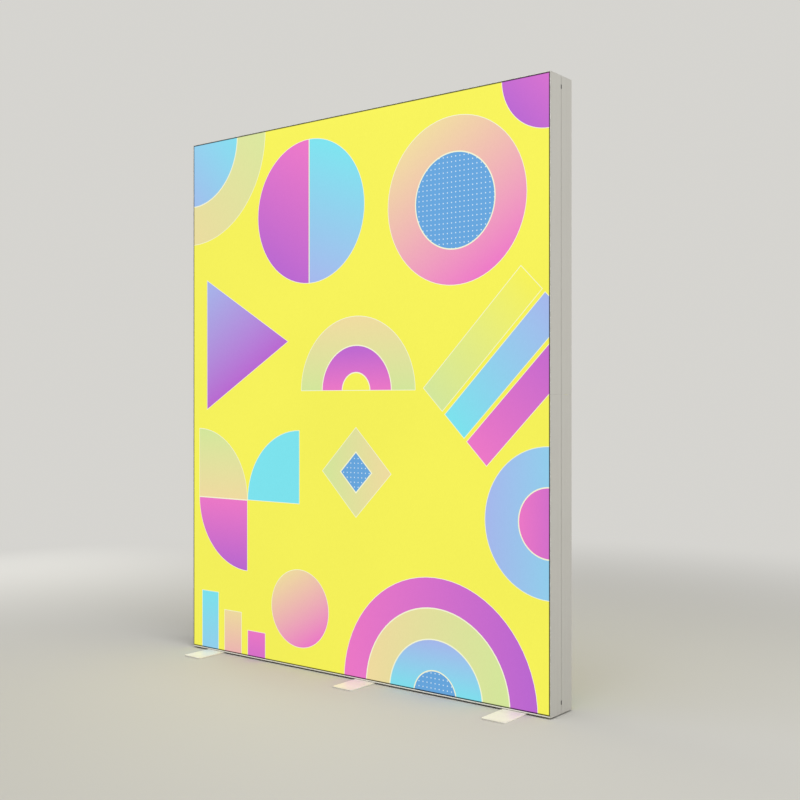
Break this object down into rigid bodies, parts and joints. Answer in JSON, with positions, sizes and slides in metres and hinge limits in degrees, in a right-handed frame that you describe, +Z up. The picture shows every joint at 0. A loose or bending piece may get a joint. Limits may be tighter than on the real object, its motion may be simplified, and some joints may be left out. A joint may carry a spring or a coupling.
{
  "type": "lightbox display wall",
  "caption": "Free-standing double-sided fabric lightbox wall: deep mitred aluminium frame, backlit printed fabrics, edge light bars and flat foot plates.",
  "frame": {"origin": "on the floor under the middle of the wall's width and depth", "axes": "+Z up, +X to the right seen from the front, the front fabric faces -Y"},
  "size_m": [2.05, 0.48, 2.5053],
  "materials": {
    "profile_paint": "satin natural-anodised extrusion",
    "cast_metal": "sawn mill-finish extrusion",
    "latch_steel": "dark phosphated spring steel",
    "fabric_print": "knitted polyester backlit print",
    "silicone": "translucent white silicone",
    "foot_paint": "warm white powder coat on flat steel",
    "zinc_steel": "zinc-plated",
    "bare_aluminium": "mill finish",
    "white_board": "white solder-resist circuit board",
    "clear_lens": "clear acrylic lenses",
    "driver_metal": "anodised finned housing",
    "black_plastic": "moulded black",
    "dark_plastic": "moulded dark grey",
    "cable_jacket": "white cable jacket"
  },
  "bodies": {
    "frame": {"profile_left_lower": "profile_paint", "profile_left_upper": "profile_paint", "profile_right_lower": "profile_paint", "profile_right_upper": "profile_paint", "profile_bottom_left": "profile_paint", "profile_bottom_right": "profile_paint", "profile_top_left": "profile_paint", "profile_top_right": "profile_paint", "corner_connector_bottom_left": "cast_metal", "corner_connector_bottom_right": "cast_metal", "corner_connector_top_left": "cast_metal", "corner_connector_top_right": "cast_metal", "joint_connector_left": "cast_metal", "joint_connector_right": "cast_metal", "joint_connector_bottom": "cast_metal", "joint_connector_top": "cast_metal", "front_graphic": "fabric_print", "rear_graphic": "fabric_print", "front_edge_strip": "silicone", "rear_edge_strip": "silicone", "brace_tube": "bare_aluminium", "brace_shoe_left": "black_plastic", "brace_shoe_right": "black_plastic", "led_board_left_lower": "white_board", "led_board_left_upper": "white_board", "led_board_right_lower": "white_board", "led_board_right_upper": "white_board", "led_lens_strip_left_lower": "clear_lens", "led_lens_strip_left_upper": "clear_lens", "led_lens_strip_right_lower": "clear_lens", "led_lens_strip_right_upper": "clear_lens", "led_driver": "driver_metal", "driver_tray": "zinc_steel", "inlet_housing": "black_plastic", "mains_cable": "cable_jacket", "led_cable_left": "cable_jacket", "led_cable_right": "cable_jacket", "link_cable_left": "cable_jacket", "link_cable_right": "cable_jacket", "foot_screw_left": "zinc_steel", "foot_screw_middle": "zinc_steel", "foot_screw_right": "zinc_steel", "foot_nut_plate_left": "zinc_steel", "foot_nut_plate_middle": "zinc_steel", "foot_nut_plate_right": "zinc_steel"},
    "latch_left_lower": {"latch_left_lower": "latch_steel"},
    "latch_left_upper": {"latch_left_upper": "latch_steel"},
    "latch_right_lower": {"latch_right_lower": "latch_steel"},
    "latch_right_upper": {"latch_right_upper": "latch_steel"},
    "latch_bottom_left": {"latch_bottom_left": "latch_steel"},
    "latch_bottom_right": {"latch_bottom_right": "latch_steel"},
    "latch_top_left": {"latch_top_left": "latch_steel"},
    "latch_top_right": {"latch_top_right": "latch_steel"},
    "foot_left": {"foot_plate_left": "foot_paint"},
    "foot_middle": {"foot_plate_middle": "foot_paint"},
    "foot_right": {"foot_plate_right": "foot_paint"},
    "rocker": {"rocker_switch": "dark_plastic"},
    "fuse_drawer": {"fuse_drawer": "dark_plastic"}
  },
  "joints": [
    {"name": "latch_left_lower_press", "type": "slide", "parent": "frame", "child": "latch_left_lower", "axis": [1, 0, 0], "range_m": [0, 0.004], "stiffness_N_per_m": 600, "springref_m": -0.002},
    {"name": "latch_left_upper_press", "type": "slide", "parent": "frame", "child": "latch_left_upper", "axis": [1, 0, 0], "range_m": [0, 0.004], "stiffness_N_per_m": 600, "springref_m": -0.002},
    {"name": "latch_right_lower_press", "type": "slide", "parent": "frame", "child": "latch_right_lower", "axis": [-1, 0, 0], "range_m": [0, 0.004], "stiffness_N_per_m": 600, "springref_m": -0.002},
    {"name": "latch_right_upper_press", "type": "slide", "parent": "frame", "child": "latch_right_upper", "axis": [-1, 0, 0], "range_m": [0, 0.004], "stiffness_N_per_m": 600, "springref_m": -0.002},
    {"name": "latch_bottom_left_press", "type": "slide", "parent": "frame", "child": "latch_bottom_left", "axis": [0, 0, 1], "range_m": [0, 0.004], "stiffness_N_per_m": 600, "springref_m": -0.002},
    {"name": "latch_bottom_right_press", "type": "slide", "parent": "frame", "child": "latch_bottom_right", "axis": [0, 0, 1], "range_m": [0, 0.004], "stiffness_N_per_m": 600, "springref_m": -0.002},
    {"name": "latch_top_left_press", "type": "slide", "parent": "frame", "child": "latch_top_left", "axis": [0, 0, -1], "range_m": [0, 0.004], "stiffness_N_per_m": 600, "springref_m": -0.002},
    {"name": "latch_top_right_press", "type": "slide", "parent": "frame", "child": "latch_top_right", "axis": [0, 0, -1], "range_m": [0, 0.004], "stiffness_N_per_m": 600, "springref_m": -0.002},
    {"name": "foot_left_swivel", "type": "hinge", "parent": "frame", "child": "foot_left", "pos_m": [-0.86, 0, 0.0025], "axis": [0, 0, 1], "range_deg": [-90, 90]},
    {"name": "foot_middle_swivel", "type": "hinge", "parent": "frame", "child": "foot_middle", "pos_m": [0.092, 0, 0.0025], "axis": [0, 0, 1], "range_deg": [-90, 90]},
    {"name": "foot_right_swivel", "type": "hinge", "parent": "frame", "child": "foot_right", "pos_m": [0.86, 0, 0.0025], "axis": [0, 0, 1], "range_deg": [-90, 90]},
    {"name": "rocker_tilt", "type": "hinge", "parent": "frame", "child": "rocker", "pos_m": [-1.02, 0.04825, 0.3192], "axis": [0, 1, 0], "range_deg": [0, 16]},
    {"name": "fuse_drawer_slide", "type": "slide", "parent": "frame", "child": "fuse_drawer", "axis": [-1, 0, 0], "range_m": [0, 0.015]}
  ]
}
